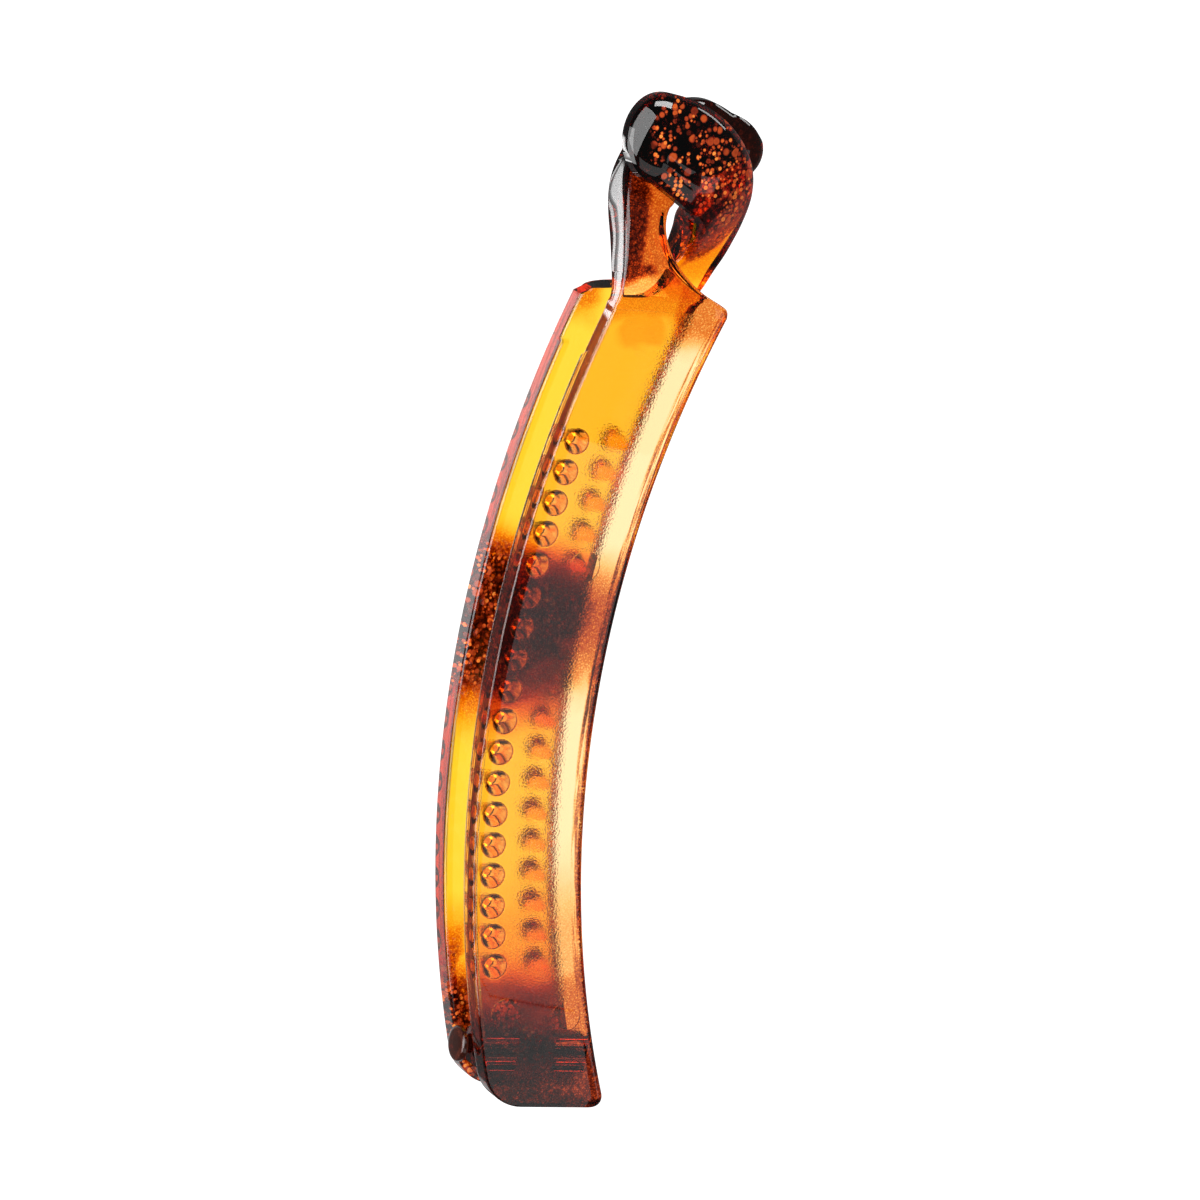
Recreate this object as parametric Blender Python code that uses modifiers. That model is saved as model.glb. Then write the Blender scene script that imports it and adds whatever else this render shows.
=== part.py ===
"""Banana hair clip: two curved arms on a riveted hinge, latched by two interlocking hook fingers.

The clip lies on its side. +Z points up through both arms, +Y runs from the hinge to the fingers, and -X is the convex
back of the clip. The origin is on the lower arm's outer face, on the middle line of its plate.
"""

import math

import bmesh
import bpy
import numpy as np
from mathutils import Matrix, Vector

MM = 0.001

# The plate, an arc between two circles with one centre
ARC_RADIUS = 151.8 * MM
PLATE_DEPTH = 15.6 * MM
OUTER_RADIUS = ARC_RADIUS + PLATE_DEPTH / 2
INNER_RADIUS = ARC_RADIUS - PLATE_DEPTH / 2
PLATE_THICK = 2.8 * MM
CLIP_THICK = 12.4 * MM
LIP_HEIGHT = 0.6 * MM
LIP_WIDTH = 1.4 * MM
LIP_END_Y = 45.3 * MM
LIP_FADE = 0.5 * MM

# The rounded edges of the plate. Where a section is thicker than the plate, its edges get rounder by these shares of
# the difference, the first for a box and the second for an ellipse, up to the largest share of its thickness.
BACK_EDGE_ROUND = 0.5 * MM
FRONT_EDGE_ROUND = 1.0 * MM
ROUNDER_WITH_THICKNESS = (0.1, 0.6)
LARGEST_SHARE = 0.4

# The two ends of the plate
TAIL_Y = -54.5 * MM
TAIL_BACK_ROUND = 3.8 * MM
TAIL_FRONT_ROUND = 1.8 * MM
SHOULDER_Y = 51.4 * MM

# The teeth, one row on each arm
TOOTH_COUNT = 18
TOOTH_PITCH = 4.16 * MM
TOOTH_LENGTH = 3.9 * MM
TOOTH_BASE_RADIUS = 1.55 * MM
TOOTH_TIP_RADIUS = 0.5 * MM
TOOTH_ROOT = 0.4 * MM
TOOTH_SIDES = 10
UPPER_ROW_RADIUS = 156.0 * MM
LOWER_ROW_RADIUS = 147.8 * MM
UPPER_ROW_START = math.radians(12.6)
LOWER_ROW_START = math.radians(12.9)

# The hinge, whose axis runs along X through the middle of the clip
HINGE_Y = -48.0 * MM
HINGE_Z = CLIP_THICK / 2
PIN_RADIUS = 1.0 * MM
PIN_HEAD_RADIUS = 2.35 * MM
PIN_HEAD_THICK = 1.0 * MM
PIN_HEAD_EDGE = 0.3 * MM
PIN_HEAD_DOME = 0.06 * MM
PIN_START_X = -0.9 * MM
PIN_END_X = 15.6 * MM
KNUCKLE_RADIUS = 2.3 * MM
KNUCKLE_SIDES = 16
KNUCKLE_ENDS = {"back": (0.4, 5.2), "middle": (5.6, 10.1), "front": (10.5, 15.2)}
PIECE_GAP = 0.3 * MM

# How finely the arms are made
CORNER_STEPS = 2
FACE_STEPS = 5
PLATE_STEPS = 30
TAIL_STEPS = 7
FINGER_STEPS = 4
TIP_STEPS = 4
TIP_BLUNTNESS = 0.4
ROUND_SIDES = 24

# The shoulder and the hook finger of each arm, in millimetres. A row is one section: its middle, the way it faces in
# plan (0 is +Y, positive turns to +X), its twist round its own path, half its width, half its thickness and how round
# it is (0 box, 1 ellipse).
FINGER_COLUMNS = ("x", "y", "z", "heading", "twist", "half_width", "half_thick", "round")
UPPER_FINGER = (
    (9.0, 52.4, 11.00, 0, 0, 8.10, 1.40, 0.0),
    (8.5, 53.1, 10.95, 0, 0, 7.30, 1.45, 0.0),
    (7.3, 54.3, 10.75, 0, 0, 5.90, 1.65, 0.0),
    (6.1, 56.0, 10.35, 0, 0, 4.70, 1.95, 0.1),
    (5.0, 58.2, 9.70, 0, 0, 3.85, 2.30, 0.2),
    (4.3, 61.0, 8.75, 0, 0, 3.40, 2.50, 0.3),
    (4.6, 63.7, 7.20, 8, 0, 3.80, 2.60, 0.4),
    (5.8, 66.3, 5.20, 28, 0, 4.80, 2.55, 0.6),
    (7.8, 69.3, 3.55, 50, 0, 5.15, 2.40, 0.8),
    (10.5, 71.8, 2.62, 68, 0, 5.40, 2.32, 1.0),
    (14.0, 72.4, 2.40, 87, 0, 5.60, 2.15, 1.0),
    (17.2, 71.6, 2.30, 101, 0, 4.80, 2.05, 1.0),
)
UPPER_TIP_REACH = 6.2 * MM
LOWER_FINGER = (
    (9.5, 51.9, 1.40, 0, 0, 7.80, 1.40, 0.0),
    (9.95, 52.4, 1.40, 0, 0, 7.45, 1.40, 0.0),
    (11.8, 52.8, 1.45, 0, 0, 5.90, 1.45, 0.0),
    (13.7, 53.3, 1.50, 0, 0, 4.20, 1.50, 0.0),
    (14.7, 54.4, 1.70, 0, 0, 3.50, 1.70, 0.0),
    (15.4, 56.0, 2.05, 0, 0, 3.25, 2.05, 0.1),
    (15.9, 58.2, 2.65, 0, 8, 3.50, 2.50, 0.2),
    (16.1, 60.6, 3.60, 0, 16, 3.95, 2.80, 0.3),
    (15.95, 63.0, 4.90, -6, 20, 4.70, 3.00, 0.4),
    (15.55, 65.5, 6.80, -24, 14, 5.30, 2.90, 0.6),
    (14.5, 67.8, 8.40, -47, 8, 5.75, 2.70, 0.8),
    (12.2, 70.2, 9.35, -68, 10, 6.35, 2.55, 1.0),
    (8.8, 72.0, 9.50, -84, 11, 6.80, 2.45, 1.0),
    (4.8, 73.6, 9.55, -84, 12, 6.00, 2.50, 1.0),
)
LOWER_TIP_REACH = 5.3 * MM

AMBER = (0.80, 0.36, 0.05, 1.0)
DARK_AMBER = (0.30, 0.06, 0.02, 1.0)
PLASTIC_ROUGHNESS = 0.12
PLASTIC_TRANSMISSION = 0.7

for old in list(bpy.data.objects):
    bpy.data.objects.remove(old, do_unlink=True)

PARTS = bpy.data.collections.new("banana_hair_clip")
CUTTERS = bpy.data.collections.new("cutters")
for group in (PARTS, CUTTERS):
    bpy.context.scene.collection.children.link(group)


def plastic(name, colour):
    """A see-through moulded plastic of one colour."""
    material = bpy.data.materials.new(name)
    material.use_nodes = True
    shader = material.node_tree.nodes["Principled BSDF"]
    shader.inputs["Base Color"].default_value = colour
    shader.inputs["Roughness"].default_value = PLASTIC_ROUGHNESS
    shader.inputs["Metallic"].default_value = 0.0
    shader.inputs["Transmission Weight"].default_value = PLASTIC_TRANSMISSION
    material.diffuse_color = colour
    return material


def move_to(obj, group):
    """Puts an object in one collection only."""
    for old_group in obj.users_collection:
        old_group.objects.unlink(obj)
    group.objects.link(obj)


def as_cutter(obj):
    """Hides a shape that only cuts or joins others."""
    move_to(obj, CUTTERS)
    obj.hide_render = True
    obj.display_type = "WIRE"
    return obj


def combine(target, tool, operation):
    """Cuts or joins with a Boolean that stays live."""
    modifier = target.modifiers.new(tool.name, "BOOLEAN")
    modifier.operation = operation
    modifier.solver = "EXACT"
    modifier.object = tool


def edge_x(radius, y):
    """Where the circle of this radius round the plate's centre lies at a height y."""
    return ARC_RADIUS - math.sqrt(radius * radius - y * y)


def arc_point(radius, angle):
    """A point on a circle round the plate's centre. Angle 0 is the middle of the plate."""
    return ARC_RADIUS - radius * math.cos(angle), radius * math.sin(angle)


def corner_cut(radius, y):
    """How far a rounded corner of the tail draws an edge in at a height y."""
    depth = TAIL_Y + radius - y
    if depth <= 0:
        return 0.0
    return radius - math.sqrt(max(radius * radius - depth * depth, 0.0))


def plate_sections(upper):
    """The sections of the plate from its tail to its shoulder."""
    round_part = TAIL_BACK_ROUND * (1 - np.cos(np.linspace(0, math.pi / 2, TAIL_STEPS)))
    straight_part = np.linspace(TAIL_Y + TAIL_BACK_ROUND, SHOULDER_Y, PLATE_STEPS)
    lip_ends = [LIP_END_Y - LIP_FADE / 2, LIP_END_Y + LIP_FADE / 2]
    middle_z = CLIP_THICK - PLATE_THICK / 2 if upper else PLATE_THICK / 2
    rows = []
    for y in sorted((TAIL_Y + round_part).tolist() + straight_part[1:].tolist() + lip_ends):
        back = edge_x(OUTER_RADIUS, y) + corner_cut(TAIL_BACK_ROUND, y)
        front = edge_x(INNER_RADIUS, y) - corner_cut(TAIL_FRONT_ROUND, y)
        lip = LIP_HEIGHT if y < LIP_END_Y else 0.0
        rows.append(((back + front) / 2, y, middle_z, 0.0, 0.0, (front - back) / 2, PLATE_THICK / 2, 0.0, lip))
    return rows


def finger_sections(table, tip_reach, first_row):
    """The sections of the shoulder and finger, smoothed through the table's rows, with a rounded tip."""
    column = {name: place for place, name in enumerate(FINGER_COLUMNS)}
    lengths = [column[name] for name in ("x", "y", "z", "half_width", "half_thick")]
    turns = [column["heading"], column["twist"]]
    rows = []
    for line in table:
        row = np.array(line, dtype=float)
        row[lengths] *= MM
        row[turns] = np.radians(row[turns])
        rows.append(row)
    rows.insert(0, np.array(first_row[: len(FINGER_COLUMNS)]))
    smooth = []
    for place in range(len(rows) - 1):
        before = rows[max(place - 1, 0)]
        start, end = rows[place], rows[place + 1]
        after = rows[min(place + 2, len(rows) - 1)]
        for step in range(1, FINGER_STEPS + 1):
            t = step / FINGER_STEPS
            bend = 2 * before - 5 * start + 4 * end - after
            turn = 3 * start - before - 3 * end + after
            smooth.append(start + 0.5 * t * (end - before + t * (bend + t * turn)))
    last = smooth[-1]
    heading = last[column["heading"]]
    for step in range(1, TIP_STEPS + 1):
        angle = step / (TIP_STEPS + TIP_BLUNTNESS) * math.pi / 2
        row = last.copy()
        row[column["x"]] += math.sin(heading) * math.sin(angle) * tip_reach
        row[column["y"]] += math.cos(heading) * math.sin(angle) * tip_reach
        row[column["half_width"]] *= math.cos(angle)
        row[column["half_thick"]] *= math.cos(angle)
        smooth.append(row)
    return [tuple(row.tolist()) + (0.0,) for row in smooth]


def outline(half_width, half_thick, roundness, lip):
    """One section, across from the back edge (-) to the front edge (+) and from the outer face (0) to the inner."""
    thick = 2 * half_thick
    for_box, for_ellipse = ROUNDER_WITH_THICKNESS
    rounder = (for_box + (for_ellipse - for_box) * roundness) * max(thick - PLATE_THICK, 0.0)
    back = min(BACK_EDGE_ROUND + rounder, LARGEST_SHARE * thick)
    front = min(FRONT_EDGE_ROUND + rounder, LARGEST_SHARE * thick)
    lip_slope = min(back / 2, LARGEST_SHARE * LIP_WIDTH)
    lip_width = min(max(LIP_WIDTH, back + 2 * lip_slope), half_width / 2)
    corners = (
        (-half_width + back, back, back, 180),
        (half_width - front, front, front, 270),
        (half_width - back, thick - back, back, 0),
    )
    points = []
    for place, (centre_u, centre_v, radius, first) in enumerate(corners):
        for step in range(CORNER_STEPS + 1):
            angle = math.radians(first + 90 * step / CORNER_STEPS)
            points.append((centre_u + radius * math.cos(angle), centre_v + radius * math.sin(angle)))
        if place == 0:
            points += even_points(points[-1], (half_width - front, 0.0))
    lip_side = -half_width + lip_width
    points += even_points(points[-1], (lip_side, thick))
    points.append((lip_side, thick))
    points.append((lip_side - lip_slope, thick + lip))
    for step in range(CORNER_STEPS + 1):
        angle = math.radians(90 + 90 * step / CORNER_STEPS)
        points.append((-half_width + back + back * math.cos(angle), thick + lip - back + back * math.sin(angle)))
    shape = []
    for u, v in points:
        level = min(v, thick) - half_thick
        angle = math.atan2(level / half_thick, u / half_width)
        round_u, round_v = half_width * math.cos(angle), half_thick * math.sin(angle)
        shape.append((u + (round_u - u) * roundness, v - half_thick + (round_v - v + half_thick) * roundness))
    return shape


def even_points(start, end):
    """The points between two corners of a section, without either."""
    return [
        (start[0] + (end[0] - start[0]) * step / FACE_STEPS, start[1] + (end[1] - start[1]) * step / FACE_STEPS)
        for step in range(1, FACE_STEPS)
    ]


def arm_shell(name, sections, upper):
    """One closed skin through all the sections of an arm."""
    middles = np.array([row[:3] for row in sections])
    tangents = np.gradient(middles, axis=0)
    mesh = bmesh.new()
    rings = []
    for row, tangent in zip(sections, tangents):
        middle, heading, twist = Vector(row[:3]), row[3], row[4]
        across = Vector((math.cos(heading), -math.sin(heading), 0.0))
        inward = Vector(tangent).cross(across).normalized()
        turn = Matrix.Rotation(twist, 3, Vector(tangent))
        across, inward = turn @ across, turn @ inward
        if not upper:
            inward = -inward
        ring = [mesh.verts.new(middle + u * across + v * inward) for u, v in outline(*row[5:])]
        rings.append(ring)
    for low, high in zip(rings, rings[1:]):
        for place, vert in enumerate(low):
            after = (place + 1) % len(low)
            mesh.faces.new((vert, low[after], high[after], high[place]))
    mesh.faces.new(rings[0])
    mesh.faces.new(rings[-1])
    bmesh.ops.recalc_face_normals(mesh, faces=mesh.faces)
    data = bpy.data.meshes.new(name)
    mesh.to_mesh(data)
    mesh.free()
    obj = bpy.data.objects.new(name, data)
    PARTS.objects.link(obj)
    return obj


def tooth_row(name, row_radius, start_angle, upper):
    """A row of cones that stand on the plate's inner face."""
    mesh = bmesh.new()
    height = TOOTH_LENGTH + TOOTH_ROOT
    face_z = CLIP_THICK - PLATE_THICK if upper else PLATE_THICK
    side = -1 if upper else 1
    turn = Matrix.Rotation(math.pi, 4, "X") if upper else Matrix.Identity(4)
    for number in range(TOOTH_COUNT):
        x, y = arc_point(row_radius, start_angle - number * TOOTH_PITCH / row_radius)
        middle = Matrix.Translation((x, y, face_z + side * (height / 2 - TOOTH_ROOT)))
        bmesh.ops.create_cone(
            mesh,
            cap_ends=True,
            segments=TOOTH_SIDES,
            radius1=TOOTH_BASE_RADIUS,
            radius2=TOOTH_TIP_RADIUS,
            depth=height,
            matrix=middle @ turn,
        )
    data = bpy.data.meshes.new(name)
    mesh.to_mesh(data)
    mesh.free()
    obj = bpy.data.objects.new(name, data)
    CUTTERS.objects.link(obj)
    return as_cutter(obj)


def rod_along_x(name, radius, start_x, end_x, sides):
    """A round bar on the hinge's axis."""
    bpy.ops.mesh.primitive_cylinder_add(
        vertices=sides,
        radius=radius,
        depth=end_x - start_x,
        location=((start_x + end_x) / 2, HINGE_Y, HINGE_Z),
        rotation=(0, math.pi / 2, 0),
    )
    obj = bpy.context.object
    obj.name = name
    return obj


def add_knuckle(arm, which, upper):
    """One knuckle: a round eye on the hinge's axis and the web that carries it."""
    start_x, end_x = (place * MM for place in KNUCKLE_ENDS[which])
    eye = as_cutter(rod_along_x(f"{which}_eye", KNUCKLE_RADIUS, start_x, end_x, KNUCKLE_SIDES))
    plate_z = CLIP_THICK - PLATE_THICK / 2 if upper else PLATE_THICK / 2
    bpy.ops.mesh.primitive_cube_add(size=1, location=((start_x + end_x) / 2, HINGE_Y, (HINGE_Z + plate_z) / 2))
    web = bpy.context.object
    web.name = f"{which}_web"
    flat_of_eye = 2 * KNUCKLE_RADIUS * math.cos(math.pi / KNUCKLE_SIDES)
    web.scale = (end_x - start_x, flat_of_eye, abs(plate_z - HINGE_Z))
    as_cutter(web)
    combine(eye, web, "UNION")
    combine(arm, eye, "UNION")


def build_arm(name, table, tip_reach, row, knuckles, upper):
    """One moulded arm: skin, teeth, knuckles and the bore for the pin."""
    sections = plate_sections(upper)
    sections += finger_sections(table, tip_reach, sections[-1])
    arm = arm_shell(name, sections, upper)
    combine(arm, tooth_row(f"{name}_teeth", *row, upper), "UNION")
    for which in knuckles:
        add_knuckle(arm, which, upper)
    bore = rod_along_x(f"{name}_bore", PIN_RADIUS + PIECE_GAP, PIN_START_X, PIN_END_X, KNUCKLE_SIDES)
    combine(arm, as_cutter(bore), "DIFFERENCE")
    arm.data.materials.append(plastic(f"{name}_amber", AMBER))
    return arm


def build_pin():
    """The rivet pin, turned from one profile, with its head on the back of the clip."""
    profile = (
        (0.0, PIN_HEAD_THICK),
        (PIN_HEAD_RADIUS - PIN_HEAD_EDGE, PIN_HEAD_THICK - PIN_HEAD_DOME),
        (PIN_HEAD_RADIUS, PIN_HEAD_THICK - PIN_HEAD_EDGE),
        (PIN_HEAD_RADIUS, 0.0),
        (PIN_RADIUS, 0.0),
        (PIN_RADIUS, PIN_START_X - PIN_END_X),
        (0.0, PIN_START_X - PIN_END_X),
    )
    data = bpy.data.meshes.new("hinge_pin")
    links = [(place, place + 1) for place in range(len(profile) - 1)]
    data.from_pydata([(radius, 0.0, height) for radius, height in profile], links, [])
    pin = bpy.data.objects.new("hinge_pin", data)
    PARTS.objects.link(pin)
    pin.location = (PIN_START_X, HINGE_Y, HINGE_Z)
    pin.rotation_euler = (0, -math.pi / 2, 0)
    turn = pin.modifiers.new("turned", "SCREW")
    turn.axis = "Z"
    turn.steps = ROUND_SIDES
    turn.render_steps = ROUND_SIDES
    turn.use_merge_vertices = True
    turn.merge_threshold = 0.00005
    data.materials.append(plastic("pin_dark", DARK_AMBER))
    return pin


def build_clip():
    """Both arms and the pin. The upper arm's parent empty sits on the hinge's axis."""
    hinge = bpy.data.objects.new("hinge_axis", None)
    hinge.location = (0.0, HINGE_Y, HINGE_Z)
    PARTS.objects.link(hinge)
    upper_row = (UPPER_ROW_RADIUS, UPPER_ROW_START)
    lower_row = (LOWER_ROW_RADIUS, LOWER_ROW_START)
    build_arm("lower_arm", LOWER_FINGER, LOWER_TIP_REACH, lower_row, ("middle",), upper=False)
    upper = build_arm("upper_arm", UPPER_FINGER, UPPER_TIP_REACH, upper_row, ("back", "front"), upper=True)
    upper.parent = hinge
    upper.matrix_parent_inverse = Matrix.Translation(hinge.location).inverted()
    build_pin()


build_clip()
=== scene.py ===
"""Banana hair clip in see-through tortoiseshell plastic, lying on a plain pale floor.

The two arms are made again from the sizes of the solids, all but the neck of the near finger. They have
smooth sections, filleted teeth and marks of the mould, and take a plastic that is amber with dark, spotted
bands.
"""

import math

import bmesh
import bpy
import numpy as np
from mathutils import Matrix, Vector


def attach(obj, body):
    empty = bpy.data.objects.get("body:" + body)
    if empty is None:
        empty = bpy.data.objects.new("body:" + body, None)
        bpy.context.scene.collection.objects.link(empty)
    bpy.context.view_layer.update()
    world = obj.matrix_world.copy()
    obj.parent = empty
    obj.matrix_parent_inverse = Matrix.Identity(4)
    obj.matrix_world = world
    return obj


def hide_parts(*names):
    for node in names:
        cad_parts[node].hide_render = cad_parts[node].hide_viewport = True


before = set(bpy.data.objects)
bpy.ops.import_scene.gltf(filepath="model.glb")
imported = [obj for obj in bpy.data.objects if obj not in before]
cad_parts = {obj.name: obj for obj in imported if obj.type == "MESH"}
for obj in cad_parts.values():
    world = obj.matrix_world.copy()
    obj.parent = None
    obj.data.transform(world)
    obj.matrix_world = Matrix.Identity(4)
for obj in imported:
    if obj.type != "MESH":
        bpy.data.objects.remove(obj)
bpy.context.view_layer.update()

MM = 0.001

# The plate, an arc between two circles with one centre
ARC_RADIUS = 151.8 * MM
PLATE_DEPTH = 15.6 * MM
OUTER_RADIUS = ARC_RADIUS + PLATE_DEPTH / 2
INNER_RADIUS = ARC_RADIUS - PLATE_DEPTH / 2
PLATE_THICK = 2.8 * MM
CLIP_THICK = 12.4 * MM
LIP_HEIGHT = 0.6 * MM
LIP_WIDTH = 1.4 * MM
LIP_END_Y = 45.3 * MM
LIP_FADE = 0.5 * MM

# The rounded edges of the plate. Where a section is thicker than the plate, its edges get rounder by these
# shares of the difference, the first for a box and the second for an ellipse, up to the largest share of
# its thickness.
BACK_EDGE_ROUND = 0.5 * MM
FRONT_EDGE_ROUND = 1.0 * MM
ROUNDER_WITH_THICKNESS = (0.1, 0.6)
LARGEST_SHARE = 0.4

# The two ends of the plate
TAIL_Y = -54.5 * MM
TAIL_BACK_ROUND = 3.8 * MM
TAIL_FRONT_ROUND = 1.8 * MM
SHOULDER_Y = 51.4 * MM

# The teeth, one row on each arm. A tooth's profile runs from its root up to its tip, as radius and height
# in millimetres.
TOOTH_COUNT = 18
TOOTH_PITCH = 4.16 * MM
TOOTH_PROFILE = (
    (1.85, -0.40),
    (1.85, 0.00),
    (1.70, 0.05),
    (1.60, 0.16),
    (1.54, 0.34),
    (1.20, 1.50),
    (0.86, 2.66),
    (0.58, 3.58),
    (0.50, 3.74),
    (0.36, 3.85),
    (0.18, 3.90),
)
TOOTH_SIDES = 28
UPPER_ROW_RADIUS = 156.0 * MM
LOWER_ROW_RADIUS = 147.8 * MM
UPPER_ROW_START = math.radians(12.6)
LOWER_ROW_START = math.radians(12.9)

# The hinge, whose axis runs along X through the middle of the clip. Each knuckle is given by the x of its
# two ends, and the pin by its radii and heights from the top of its head to its far end, in millimetres.
HINGE_Y = -48.0 * MM
HINGE_Z = CLIP_THICK / 2
PIN_RADIUS = 1.0 * MM
PIN_START_X = -0.9 * MM
PIN_END_X = 15.6 * MM
KNUCKLE_RADIUS = 2.3 * MM
KNUCKLE_SIDES = 48
KNUCKLE_ENDS = {"back": (0.4, 5.2), "middle": (5.6, 10.1), "front": (10.5, 15.2)}
PIECE_GAP = 0.3 * MM
PIN_PROFILE = (
    (0.00, 1.00),
    (1.20, 0.97),
    (1.75, 0.92),
    (2.08, 0.82),
    (2.27, 0.66),
    (2.35, 0.45),
    (2.35, 0.12),
    (2.27, 0.00),
    (1.00, 0.00),
    (1.00, -16.30),
    (0.85, -16.45),
    (0.00, -16.50),
)
PIN_SIDES = 64

# Round marks that the mould's pins leave on the inner faces: x and y in millimetres
MARK_RADIUS = 2.1 * MM
MARK_DEPTH = 0.18 * MM
UPPER_MARKS = ((2.6, -42.4), (11.2, -42.7), (3.4, 17.7))
LOWER_MARKS = ((-0.6, -41.6), (11.2, -42.2), (3.4, 17.7), (9.0, 46.5))

# How finely the arms are made
CORNER_STEPS = 6
FACE_STEPS = 10
PLATE_STEPS = 100
TAIL_STEPS = 14
LIP_STEPS = 5
FINGER_STEPS = 12
SMOOTHING_STEPS = 10
TIP_STEPS = 18
TIP_BLUNTNESS = 0.4

# Edges that turn by more than this stay sharp
SHARP_ANGLE = math.radians(32)

# The shoulder and the hook finger of each arm, in millimetres and degrees. The neck of the upper finger is
# up to 0.4 mm slimmer than in the solids, and squarer.
FINGER_COLUMNS = ("x", "y", "z", "heading", "twist", "half_width", "half_thick", "round")
UPPER_FINGER = (
    (9.0, 52.4, 11.00, 0, 0, 8.10, 1.40, 0.0),
    (8.5, 53.1, 10.95, 0, 0, 7.30, 1.45, 0.0),
    (7.3, 54.3, 10.75, 0, 0, 5.90, 1.65, 0.0),
    (6.1, 56.0, 10.35, 0, 0, 4.70, 1.95, 0.0),
    (5.0, 58.2, 9.70, 0, 0, 3.75, 2.30, 0.1),
    (4.35, 61.0, 8.75, 0, 0, 3.20, 2.50, 0.1),
    (4.65, 63.7, 7.20, 8, 0, 3.60, 2.60, 0.2),
    (5.8, 66.3, 5.20, 28, 0, 4.80, 2.55, 0.6),
    (7.8, 69.3, 3.55, 50, 0, 5.15, 2.40, 0.8),
    (10.5, 71.8, 2.62, 68, 0, 5.40, 2.32, 1.0),
    (14.0, 72.4, 2.40, 87, 0, 5.60, 2.15, 1.0),
    (17.2, 71.6, 2.30, 101, 0, 4.80, 2.05, 1.0),
)
UPPER_TIP_REACH = 6.2 * MM
LOWER_FINGER = (
    (9.5, 51.9, 1.40, 0, 0, 7.80, 1.40, 0.0),
    (9.95, 52.4, 1.40, 0, 0, 7.45, 1.40, 0.0),
    (11.8, 52.8, 1.45, 0, 0, 5.90, 1.45, 0.0),
    (13.7, 53.3, 1.50, 0, 0, 4.20, 1.50, 0.0),
    (14.7, 54.4, 1.70, 0, 0, 3.50, 1.70, 0.0),
    (15.4, 56.0, 2.05, 0, 0, 3.25, 2.05, 0.1),
    (15.9, 58.2, 2.65, 0, 8, 3.50, 2.50, 0.2),
    (16.1, 60.6, 3.60, 0, 16, 3.95, 2.80, 0.3),
    (15.95, 63.0, 4.90, -6, 20, 4.70, 3.00, 0.4),
    (15.55, 65.5, 6.80, -24, 14, 5.30, 2.90, 0.6),
    (14.5, 67.8, 8.40, -47, 8, 5.75, 2.70, 0.8),
    (12.2, 70.2, 9.35, -68, 10, 6.35, 2.55, 1.0),
    (8.8, 72.0, 9.50, -84, 11, 6.80, 2.45, 1.0),
    (4.8, 73.6, 9.55, -84, 12, 6.00, 2.50, 1.0),
)
LOWER_TIP_REACH = 5.3 * MM


def edge_x(radius, y):
    """Where the circle of this radius round the plate's centre lies at a height y."""
    return ARC_RADIUS - math.sqrt(radius * radius - y * y)


def arc_point(radius, angle):
    """A point on a circle round the plate's centre. Angle 0 is the middle of the plate."""
    return ARC_RADIUS - radius * math.cos(angle), radius * math.sin(angle)


def corner_cut(radius, y):
    """How far a rounded corner of the tail draws an edge in at a height y."""
    depth = TAIL_Y + radius - y
    if depth <= 0:
        return 0.0
    return radius - math.sqrt(max(radius * radius - depth * depth, 0.0))


def plate_sections(upper):
    """The sections of the plate from its tail to its shoulder."""
    round_part = TAIL_BACK_ROUND * (1 - np.cos(np.linspace(0, math.pi / 2, TAIL_STEPS)))
    straight_part = np.linspace(TAIL_Y + TAIL_BACK_ROUND, SHOULDER_Y, PLATE_STEPS)
    fade_part = LIP_END_Y + LIP_FADE * np.linspace(-0.5, 0.5, LIP_STEPS)
    middle_z = CLIP_THICK - PLATE_THICK / 2 if upper else PLATE_THICK / 2
    places = sorted((TAIL_Y + round_part).tolist() + straight_part[1:].tolist() + fade_part.tolist())
    rows = []
    for y in places:
        back = edge_x(OUTER_RADIUS, y) + corner_cut(TAIL_BACK_ROUND, y)
        front = edge_x(INNER_RADIUS, y) - corner_cut(TAIL_FRONT_ROUND, y)
        lip = LIP_HEIGHT * min(max((LIP_END_Y - y) / LIP_FADE + 0.5, 0.0), 1.0)
        middle_x = (back + front) / 2
        half_width = (front - back) / 2
        rows.append((middle_x, y, middle_z, 0.0, 0.0, half_width, PLATE_THICK / 2, 0.0, lip))
    return rows


def finger_sections(table, tip_reach, first_row):
    """The sections of the shoulder and finger, smoothed through the table's rows, with a rounded tip."""
    column = {name: place for place, name in enumerate(FINGER_COLUMNS)}
    lengths = [column[name] for name in ("x", "y", "z", "half_width", "half_thick")]
    turns = [column["heading"], column["twist"]]
    rows = []
    for line in table:
        row = np.array(line, dtype=float)
        row[lengths] *= MM
        row[turns] = np.radians(row[turns])
        rows.append(row)
    rows.insert(0, np.array(first_row[: len(FINGER_COLUMNS)]))
    smooth = []
    for place in range(len(rows) - 1):
        before = rows[max(place - 1, 0)]
        start, end = rows[place], rows[place + 1]
        after = rows[min(place + 2, len(rows) - 1)]
        for step in range(1, FINGER_STEPS + 1):
            t = step / FINGER_STEPS
            bend = 2 * before - 5 * start + 4 * end - after
            turn = 3 * start - before - 3 * end + after
            smooth.append(start + 0.5 * t * (end - before + t * (bend + t * turn)))
    line = np.array(smooth)
    for _ in range(SMOOTHING_STEPS):
        line[1:-1] = (line[:-2] + 2 * line[1:-1] + line[2:]) / 4
    smooth = list(line)
    last = smooth[-1]
    heading = last[column["heading"]]
    for step in range(1, TIP_STEPS + 1):
        angle = step / (TIP_STEPS + TIP_BLUNTNESS) * math.pi / 2
        row = last.copy()
        row[column["x"]] += math.sin(heading) * math.sin(angle) * tip_reach
        row[column["y"]] += math.cos(heading) * math.sin(angle) * tip_reach
        row[column["half_width"]] *= math.cos(angle)
        row[column["half_thick"]] *= math.cos(angle)
        smooth.append(row)
    return [tuple(row.tolist()) + (0.0,) for row in smooth]


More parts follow.
